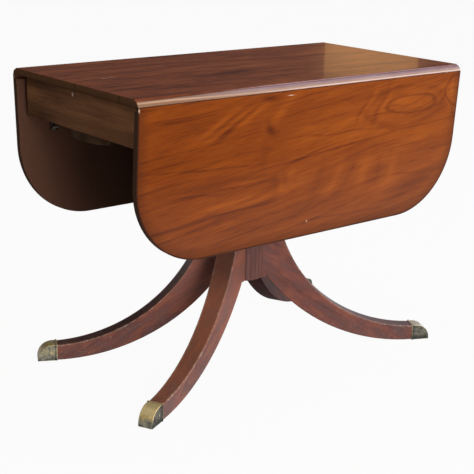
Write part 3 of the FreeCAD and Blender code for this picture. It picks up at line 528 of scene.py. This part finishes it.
# The end grain is dark from the stain, with painted shade low down, and two seams between boards show in it
END_DARKEST, END_PALEST = 0.718, 0.732
SEAMS = (-18, -190)
SEAM_SIZE = (1e5, 1.2)
normal = add(tree, "ShaderNodeTexCoord", out="Normal")
endwise = add(tree, "ShaderNodeVectorMath", {0: normal, 1: (1, 0, 0)}, out="Value", operation="DOT_PRODUCT")
endwise = add(tree, "ShaderNodeMath", {0: endwise}, operation="ABSOLUTE")
end_grain = add(tree, "ShaderNodeMapRange",
                {"Value": endwise, "From Min": 0.5, "From Max": 0.8, "To Max": 0.95})
part_space = add(tree, "ShaderNodeTexCoord", out="Object")
height = add(tree, "ShaderNodeSeparateXYZ", {0: part_space}, out="Z")
stained = add(tree, "ShaderNodeMapRange",
              {"Value": height, "From Min": END_DARKEST, "From Max": END_PALEST})
stained = add(tree, "ShaderNodeValToRGB", {"Fac": stained},
              stops=[(0.0, "#2b1d14"), (0.4, "#543b28"), (1.0, "#5e422d")])
colour = add(tree, "ShaderNodeMix", {0: end_grain, 6: colour, 7: stained}, out=2, data_type="RGBA")
for across in SEAMS:
    seam = mound(tree, place, 0, across, *SEAM_SIZE)
    seam = add(tree, "ShaderNodeMath", {0: seam, 1: end_grain}, operation="MULTIPLY")
    colour = add(tree, "ShaderNodeMix", {0: seam, 6: colour, 7: linear("#20140b")}, out=2, data_type="RGBA")

# Along the quarter rounds, over a strip of painted shade, the polish has rubbed to tan at the left and a
# hazy lilac at the right, both with painted light and the lilac a painted sheen.
# One painted highlight line runs along them, lower at the right than at the left
LEFT_UNTIL, RIGHT_FROM = -0.4, -0.15
RUBBED_BELOW_LEFT, RUBBED_BELOW_RIGHT = 0.7335, TOP_HEIGHT
RUBBED_FADE = 0.0015
LILAC_FROM, MOST_LILAC = 0.727, 0.731
BRIGHT_LINE_LEFT, BRIGHT_LINE_RIGHT = 0.7296, 0.7241
BRIGHT_LINE_CORE, BRIGHT_LINE_REACH = 0.0004, 0.0022
BRIGHT_LINE_START, BRIGHT_LINE_END = -0.49, 0.1
sidewise = add(tree, "ShaderNodeVectorMath", {0: normal, 1: (0, 1, 0)},
               out="Value", operation="DOT_PRODUCT")
sidewise = add(tree, "ShaderNodeMath", {0: sidewise}, operation="ABSOLUTE")
rounds = add(tree, "ShaderNodeMapRange", {"Value": sidewise, "From Min": 0.08, "From Max": 0.4})
# A strip of painted shade over the quarter rounds
dark_strip = add(tree, "ShaderNodeMath", {0: rounds, 1: 0.5}, operation="MULTIPLY")
colour = add(tree, "ShaderNodeMix", {0: dark_strip, 6: colour, 7: linear("#4a2416")},
             out=2, data_type="RGBA")
lengthwise = add(tree, "ShaderNodeSeparateXYZ", {0: place}, out="X")
rightward = add(tree, "ShaderNodeMapRange",
                {"Value": lengthwise, "From Min": LEFT_UNTIL, "From Max": RIGHT_FROM})
rubbed_from = add(tree, "ShaderNodeMapRange",
                  {"Value": rightward, "To Min": RUBBED_BELOW_LEFT, "To Max": RUBBED_BELOW_RIGHT})
below = add(tree, "ShaderNodeMath", {0: rubbed_from, 1: height}, operation="SUBTRACT")
rubbed = add(tree, "ShaderNodeMapRange", {"Value": below, "From Max": RUBBED_FADE})
rubbed = add(tree, "ShaderNodeMath", {0: rubbed, 1: rounds}, operation="MULTIPLY")
patches = speckle(tree, place, length_mm=90, width_mm=14, detail=3.0)
patches = add(tree, "ShaderNodeMapRange",
              {"Value": patches, "From Min": 0.35, "From Max": 0.65, "To Min": 0.7, "To Max": 1.0})
rubbed = add(tree, "ShaderNodeMath", {0: rubbed, 1: patches}, operation="MULTIPLY")
tan = add(tree, "ShaderNodeValToRGB", {"Fac": rightward}, stops=[(0.0, "#8a6c57"), (1.0, "#9c806a")])
haze_and_painted_sheen = add(tree, "ShaderNodeMapRange", {"Value": height, "From Min": LILAC_FROM, "From Max": MOST_LILAC})
haze_and_painted_sheen = add(tree, "ShaderNodeMath", {0: haze_and_painted_sheen, 1: rightward}, operation="MULTIPLY")
tan = add(tree, "ShaderNodeMix", {0: haze_and_painted_sheen, 6: tan, 7: linear("#978289")}, out=2, data_type="RGBA")
colour = add(tree, "ShaderNodeMix", {0: rubbed, 6: colour, 7: tan}, out=2, data_type="RGBA")
line_height = add(tree, "ShaderNodeMapRange",
                  {"Value": rightward, "To Min": BRIGHT_LINE_LEFT, "To Max": BRIGHT_LINE_RIGHT})
off_line = add(tree, "ShaderNodeMath", {0: height, 1: line_height}, operation="SUBTRACT")
off_line = add(tree, "ShaderNodeMath", {0: off_line}, operation="ABSOLUTE")
painted_highlight = add(tree, "ShaderNodeMapRange",
                  {"Value": off_line, "From Min": BRIGHT_LINE_CORE, "From Max": BRIGHT_LINE_REACH,
                   "To Min": 1.0, "To Max": 0.0})
painted_highlight = add(tree, "ShaderNodeMath", {0: painted_highlight, 1: rounds}, operation="MULTIPLY")
along_line = add(tree, "ShaderNodeMapRange",
                 {"Value": lengthwise, "From Min": BRIGHT_LINE_START, "From Max": BRIGHT_LINE_END})
brightness = add(tree, "ShaderNodeValToRGB", {"Fac": along_line},
                 stops=[(0.0, "#c8c8c8"), (0.15, "#e8e8e8"), (0.35, "#a0a0a0"),
                        (0.55, "#a0a0a0"), (0.75, "#ececec"), (1.0, "#ffffff")])
painted_highlight = add(tree, "ShaderNodeMath", {0: painted_highlight, 1: brightness}, operation="MULTIPLY")
pale = add(tree, "ShaderNodeValToRGB", {"Fac": rightward}, stops=[(0.0, "#c9a68a"), (1.0, "#d6bcb8")])
colour = add(tree, "ShaderNodeMix", {0: painted_highlight, 6: colour, 7: pale}, out=2, data_type="RGBA")
polished(tree, colour, fibres, roughness=0.34, shine=0.12, tint=WARM_SHEEN,
         gloss=0.13, gloss_roughness=0.06, bare=end_grain)
dress("fixed_top", top_mahogany)


# Leaves
# Two mahogany boards with rounded corners, cut from figured wood: a slanting grain with an eye
# near one end. Outside they are polished; their edges are dark and their insides dull and dirty, with
# painted shade.

HANG = math.radians(2.9)
SLANT = math.radians(7)
LEAF_TOP = 1000 * TOP_HEIGHT
LEAF_FACE = 0.26
CORNER_X = 0.3075
CORNER_Z = 0.5514
CORNER_RADIUS = 0.184


def on_grain(x, z):
    """A spot of the hanging leaf's face along and across its grain, in millimetres.

    x is its place along the table and z its height.
    """
    up = z - LEAF_TOP
    return (x * math.cos(SLANT) + up * math.sin(SLANT), up * math.cos(SLANT) - x * math.sin(SLANT))


# Figured mahogany, polished: warm orange-brown with long thin dark lines, an oval eye and feathery pale
# flames, a painted grey reflection low down, dark round its outline and on its edges, a painted shadow
# along the lip, and dark and dirty inside with painted shade towards the middle
LEAF_TONES = [(0.0, "#2c0f04"), (0.25, "#5a260a"), (0.5, "#7b3a0d"), (0.75, "#974e14"), (1.0, "#b56b24")]
GRIME_WIDTH = 0.03
OUTLINE_WIDTH = 0.0045
OUTLINE_INSET = 0.001
REFLECTION_FROM, MOST_REFLECTION = 0.58, 0.4
LIP_FROM, LIP_DARKEST = 0.7195, 0.7208
DARKEST_INSIDE, PALEST_INSIDE = 0.15, 0.44
FRONT_SWIRLS = (
    (*on_grain(320, 655), 95, 30, 1.2),
    (*on_grain(472, 668), 38, 46, -1.2),
    (*on_grain(-330, 690), 190, 55, 1.4),
    (*on_grain(-190, 512), 170, 42, 1.6),
    (*on_grain(215, 500), 150, 60, -1.2),
)
FRONT_LOOPS = (
    (*on_grain(320, 655), 88, 25, -5, -0.2),
    (*on_grain(300, 652), 138, 50, -4, -0.1),
    (*on_grain(486, 676), 38, 36, 0, -0.2),
    (*on_grain(492, 668), 30, 70, 0, -0.1),
    (*on_grain(-420, 472), 312, 28, 0, -0.12),
    (*on_grain(-410, 470), 318, 50, 0, -0.08),
)
FRONT_STREAKS = (
    (*on_grain(172, 582), 320, 2.6, -1.7, -0.22),
    (*on_grain(-312, 570), 165, 2.6, -8.6, -0.16),
    (*on_grain(49, 609), 173, 2.4, -9.2, -0.14),
    (*on_grain(-255, 458), 175, 2.8, -0.5, -0.2),
    (*on_grain(117, 406), 185, 3.0, -5.6, -0.12),
    (*on_grain(-397, 684), 90, 4.0, -1.0, -0.14),
    (*on_grain(10, 676), 110, 2.6, -2.0, -0.14),
    (*on_grain(-288, 668), 70, 9.0, 19.0, 0.18),
    (*on_grain(-248, 668), 72, 6.0, 22.0, 0.14),
    (*on_grain(-208, 672), 66, 9.0, 23.0, 0.2),
    (*on_grain(-268, 670), 60, 4.0, 20.0, -0.14),
    (*on_grain(-228, 670), 60, 4.0, 22.0, -0.14),
    (*on_grain(-264, 645), 34, 9.0, 17.0, -0.22),
    (*on_grain(-135, 644), 18, 9.0, -60.0, -0.24),
    (*on_grain(-156, 577), 45, 12.0, 73.0, -0.07),
    (*on_grain(-144, 710), 24, 8.0, -8.0, -0.26),
    (*on_grain(-110, 672), 60, 12.0, 30.0, 0.14),
    (*on_grain(173, 670), 46, 8.0, 47.0, 0.14),
    (*on_grain(202, 652), 48, 5.0, 52.0, -0.14),
    (*on_grain(150, 652), 44, 5.0, 48.0, -0.12),
    (*on_grain(226, 660), 42, 8.0, 55.0, 0.1),
    (*on_grain(320, 655), 70, 17.0, -5.0, 0.05),
    (*on_grain(470, 668), 18, 30.0, 0.0, 0.18),
    (*on_grain(-255, 472), 160, 8.0, 0.0, 0.18),
    (*on_grain(-193, 526), 80, 7.0, -9.0, 0.12),
    (*on_grain(-108, 508), 24, 10.0, -82.0, 0.14),
    (*on_grain(-82, 519), 38, 14.0, 68.0, 0.1),
    (*on_grain(20, 508), 40, 12.0, 60.0, -0.08),
    (*on_grain(70, 500), 46, 16.0, 52.0, 0.13),
    (*on_grain(118, 500), 44, 9.0, 53.0, -0.09),
    (*on_grain(165, 496), 44, 15.0, 55.0, 0.13),
    (*on_grain(215, 496), 44, 9.0, 53.0, -0.09),
    (*on_grain(268, 492), 44, 16.0, 52.0, 0.11),
    (*on_grain(360, 451), 80, 26.0, 8.0, -0.14),
    (*on_grain(80, 630), 180, 14.0, -6.0, 0.1),
    # Broad patches: the lighter one at the right and the darker one at the left are partly the wood and
    # partly painted light and shade
    (*on_grain(330, 610), 330, 150, 0.0, 0.1),
    (*on_grain(-400, 560), 220, 200, 0.0, -0.06),
    (*on_grain(-40, 445), 130, 50, 0.0, -0.06),
)
FRONT_MARKS = (
    (*on_grain(-5, 403), 1.8, 1.6),
    (*on_grain(-82, 711), 8, 0.9, -8),
    (*on_grain(-490, 716), 1.6, 4),
)
BACK_SWIRLS = (
    (*on_grain(-120, 560), 220, 44, 1.8),
    (*on_grain(330, 640), 150, 50, -1.4),
)
BACK_LOOPS = (
    (*on_grain(-160, 556), 170, 30, 0, -0.14),
    (*on_grain(340, 640), 120, 34, -4, -0.14),
)
BACK_STREAKS = (
    (*on_grain(80, 640), 260, 2.8, -2.0, -0.24),
    (*on_grain(-200, 470), 220, 2.8, 0.0, -0.2),
    (*on_grain(250, 520), 60, 12.0, 50.0, 0.14),
    (*on_grain(190, 520), 60, 9.0, 52.0, -0.12),
    (*on_grain(120, 516), 60, 12.0, 55.0, 0.14),
    (*on_grain(-330, 670), 90, 10.0, 20.0, 0.14),
)
for side, sign, swirls, streaks, loops, marks in (
        ("front", -1, FRONT_SWIRLS, FRONT_STREAKS, FRONT_LOOPS, FRONT_MARKS),
        ("back", 1, BACK_SWIRLS, BACK_STREAKS, BACK_LOOPS, ())):
    outward = Vector((0, sign * math.cos(HANG), -math.sin(HANG)))
    down = Vector((0, -sign * math.sin(HANG), -math.cos(HANG)))
    run = Vector((-sign, 0, 0))
    along = run * math.cos(SLANT) - down * math.sin(SLANT)
    leaf_mahogany = new_material(f"{side}_leaf_mahogany_figured")
    tree = leaf_mahogany.node_tree
    place = board_space(tree, along, outward, (0, sign * LEAF_FACE, LEAF_TOP / 1000))
    colour, fibres = timber(tree, place, LEAF_TONES, ring_mm=24, wander=1.5,
                            line=0.17, fibre=0.32, drift=0.4,
                            swirls=swirls, streaks=streaks, loops=loops)
    normal = add(tree, "ShaderNodeTexCoord", out="Normal")
    show = add(tree, "ShaderNodeVectorMath", {0: normal, 1: outward}, out="Value", operation="DOT_PRODUCT")
    inside = add(tree, "ShaderNodeMapRange",
                 {"Value": show, "From Min": -0.3, "From Max": -0.8, "To Max": 0.8})
    rim = add(tree, "ShaderNodeMapRange",
              {"Value": show, "From Min": 0.6, "From Max": 0.25, "To Max": 0.92})

    # A painted grey reflection of the floor low down, and grime with a thin dark outline towards the ends
    # and the lower edge
    part_space = add(tree, "ShaderNodeTexCoord", out="Object")
    mirrored = add(tree, "ShaderNodeVectorMath", {0: part_space}, operation="ABSOLUTE")
    past_corner = add(tree, "ShaderNodeVectorMath",
                      {0: mirrored, 1: (1, 0, -1), 2: (-CORNER_X, 0, CORNER_Z)}, operation="MULTIPLY_ADD")
    past_corner = add(tree, "ShaderNodeVectorMath", {0: past_corner, 1: (0, 0, 0)}, operation="MAXIMUM")
    out_from_corner = add(tree, "ShaderNodeVectorMath", {0: past_corner}, out="Value", operation="LENGTH")
    grime_and_painted_shadow = add(tree, "ShaderNodeMapRange",
                {"Value": out_from_corner, "From Min": CORNER_RADIUS - GRIME_WIDTH,
                 "From Max": CORNER_RADIUS, "To Max": 0.55})
    outline = add(tree, "ShaderNodeMapRange",
                  {"Value": out_from_corner, "From Min": CORNER_RADIUS - OUTLINE_WIDTH,
                   "From Max": CORNER_RADIUS - OUTLINE_INSET, "To Max": 0.8})
    height = add(tree, "ShaderNodeSeparateXYZ", {0: part_space}, out="Z")
    painted_reflection = add(tree, "ShaderNodeMapRange",
                {"Value": height, "From Min": REFLECTION_FROM, "From Max": MOST_REFLECTION, "To Max": 0.06})
    colour = add(tree, "ShaderNodeMix", {0: painted_reflection, 6: colour, 7: linear("#8f8079")},
                 out=2, data_type="RGBA")
    colour = add(tree, "ShaderNodeMix", {0: grime_and_painted_shadow, 6: colour, 7: linear("#3a1c10")},
                 out=2, data_type="RGBA")
    colour = add(tree, "ShaderNodeMix", {0: outline, 6: colour, 7: linear("#2a1710")},
                 out=2, data_type="RGBA")

    # Pale marks, dark edges, a painted shadow line on the lip at the rule joint, and dark dirty wood inside
    # with painted shade towards the middle
    for spot in marks:
        mark = mound(tree, place, *spot)
        colour = add(tree, "ShaderNodeMix", {0: mark, 6: colour, 7: linear("#d2b59c")},
                     out=2, data_type="RGBA")
    colour = add(tree, "ShaderNodeMix", {0: rim, 6: colour, 7: linear("#46352a")}, out=2, data_type="RGBA")
    # A painted shadow line along the lip at the rule joint
    lip = add(tree, "ShaderNodeMapRange",
              {"Value": height, "From Min": LIP_FROM, "From Max": LIP_DARKEST, "To Max": 0.5})
    colour = add(tree, "ShaderNodeMix", {0: lip, 6: colour, 7: linear("#3a1c10")}, out=2, data_type="RGBA")
    # Darker towards the middle inside: painted shade over dark dirty wood
    from_middle = add(tree, "ShaderNodeSeparateXYZ", {0: mirrored}, out="X")
    inside_dirt_and_shade = add(tree, "ShaderNodeMapRange",
               {"Value": from_middle, "From Min": DARKEST_INSIDE, "From Max": PALEST_INSIDE})
    inside_dirt_and_shade = add(tree, "ShaderNodeValToRGB", {"Fac": inside_dirt_and_shade},
               stops=[(0.0, "#261812"), (0.5, "#463027"), (1.0, "#644539")])
    colour = add(tree, "ShaderNodeMix", {0: inside, 6: colour, 7: inside_dirt_and_shade}, out=2, data_type="RGBA")
    bare = add(tree, "ShaderNodeMapRange", {"Value": show, "From Min": 0.6, "From Max": 0.25})
    polished(tree, colour, fibres, roughness=0.36, shine=0.16, tint=WARM_SHEEN,
             gloss=0.05, gloss_roughness=0.08, bare=bare)
    dress(f"{side}_leaf", leaf_mahogany)


# Hinges, stays and screws
# Drop-leaf hinges screwed under top and leaf, with a short and a long flap, riveted steel stays that
# slide in tracks under the leaves, and slotted wood screws. All dulled by age.

# Old mild steel: grey and dull, with brown stains
STAIN_MM = 7
dull_steel = new_material("dull_steel_stained")
tree = dull_steel.node_tree
part_space = add(tree, "ShaderNodeTexCoord", out="Object")
stain = add(tree, "ShaderNodeTexNoise", {"Vector": part_space, "Scale": 1000 / STAIN_MM, "Detail": 4.0})
colour = add(tree, "ShaderNodeValToRGB", {"Fac": stain},
             stops=[(0.3, "#3a2d22"), (0.5, "#625b55"), (0.8, "#8a847c")])
rough = add(tree, "ShaderNodeMapRange", {"Value": stain, "To Min": 0.6, "To Max": 0.35})
shader = add(tree, "ShaderNodeBsdfPrincipled", {"Base Color": colour, "Metallic": 0.9, "Roughness": rough})
add(tree, "ShaderNodeOutputMaterial", {"Surface": shader})
for node in nodes:
    if "hinge" in node or "stay" in node or node.endswith("screws"):
        dress(node, dull_steel)


# Studio
# A pale floor, a large soft lamp in front, others to the right and overhead, a small warm one behind,
# and a dim room that is darkest behind the table.

FLOOR_REACH = 60.0
FLOOR_WHITENESS = 0.95
floor_mesh = bpy.data.meshes.new("floor")
corners = [(-FLOOR_REACH, -FLOOR_REACH, 0), (FLOOR_REACH, -FLOOR_REACH, 0),
           (FLOOR_REACH, FLOOR_REACH, 0), (-FLOOR_REACH, FLOOR_REACH, 0)]
floor_mesh.from_pydata(corners, [], [(0, 1, 2, 3)])
floor = bpy.data.objects.new("floor", floor_mesh)
bpy.context.scene.collection.objects.link(floor)
# Matt white paint that the camera and reflections see as nearly white, so that only soft shadows show on it
pale_paint = new_material("pale_floor_paint")
tree = pale_paint.node_tree
matt = add(tree, "ShaderNodeBsdfDiffuse", {"Color": linear("#d6d5d3")})
white = add(tree, "ShaderNodeEmission", {"Color": linear("#ffffff"), "Strength": 1.0})
seen = add(tree, "ShaderNodeLightPath", out="Is Camera Ray")
for ray in ("Is Glossy Ray", "Is Transmission Ray"):
    other = add(tree, "ShaderNodeLightPath", out=ray)
    seen = add(tree, "ShaderNodeMath", {0: seen, 1: other}, operation="MAXIMUM")
share = add(tree, "ShaderNodeMath", {0: seen, 1: FLOOR_WHITENESS}, operation="MULTIPLY")
mixed = add(tree, "ShaderNodeMixShader", {0: share, 1: matt, 2: white})
add(tree, "ShaderNodeOutputMaterial", {"Surface": mixed})
floor_mesh.materials.append(pale_paint)

ROOM_IN_FRONT, ROOM_BEHIND = 0.36, 0.1
world = bpy.data.worlds.new("room")
bpy.context.scene.world = world
world.use_nodes = True
tree = world.node_tree
tree.nodes.clear()
direction = add(tree, "ShaderNodeTexCoord", out="Generated")
backwards = add(tree, "ShaderNodeVectorMath", {0: direction, 1: (0, 1, 0)},
                out="Value", operation="DOT_PRODUCT")
strength = add(tree, "ShaderNodeMapRange",
               {"Value": backwards, "From Min": -1.0, "From Max": 0.8,
                "To Min": ROOM_IN_FRONT, "To Max": ROOM_BEHIND})
walls = add(tree, "ShaderNodeBackground", {"Color": linear("#eae7e6"), "Strength": strength})
add(tree, "ShaderNodeOutputWorld", {"Surface": walls})


def lamp(name, place, target, size, power, colour):
    """A square soft lamp that faces the target."""
    light = bpy.data.lights.new(name, "AREA")
    light.size = size
    light.energy = power
    light.color = linear(colour)[:3]
    holder = bpy.data.objects.new(name, light)
    holder.location = place
    holder.rotation_euler = (Vector(target) - Vector(place)).to_track_quat("-Z", "Y").to_euler()
    bpy.context.scene.collection.objects.link(holder)


lamp("front_lamp", (-0.7, -3.8, 1.2), (0, 0, 0.4), size=2.0, power=118, colour="#fffaf3")
lamp("right_lamp", (2.8, -2.3, 2.3), (0, 0, 0.6), size=1.8, power=65, colour="#f6f4ff")
lamp("overhead_lamp", (0.3, 0.4, 3.6), (0, 0, 0), size=3.0, power=30, colour="#ffffff")
lamp("warm_back_lamp", (4.03, 3.46, 1.25), (0, 0, 0.7), size=0.66, power=2.4, colour="#ffc27a")


# Camera
# The photograph's own view from the front left, a little above the top.
# Its place, direction and lens were worked out from the table's edges.

CAMERA_PLACE = (-1.7338, -2.0874, 1.1306)
FOCAL_PIXELS = 1114.4
IMAGE_PIXELS = 474
SENSOR_MM = 36.0
YAW = 0.689
PITCH = 0.2966
ROLL = 0.0242
forward = Vector((math.sin(YAW) * math.cos(PITCH), math.cos(YAW) * math.cos(PITCH), -math.sin(PITCH)))
level = Vector((math.cos(YAW), -math.sin(YAW), 0))
above = level.cross(forward)
camera_right = level * math.cos(ROLL) + above * math.sin(ROLL)
camera_up = above * math.cos(ROLL) - level * math.sin(ROLL)
lens = bpy.data.cameras.new("camera")
lens.sensor_width = SENSOR_MM
lens.sensor_fit = "HORIZONTAL"
lens.lens = FOCAL_PIXELS / IMAGE_PIXELS * SENSOR_MM
camera = bpy.data.objects.new("camera", lens)
stand = Matrix((camera_right, camera_up, -forward)).transposed().to_4x4()
stand.translation = CAMERA_PLACE
camera.matrix_world = stand
bpy.context.scene.collection.objects.link(camera)
bpy.context.scene.camera = camera
bpy.context.scene.view_settings.view_transform = "Standard"
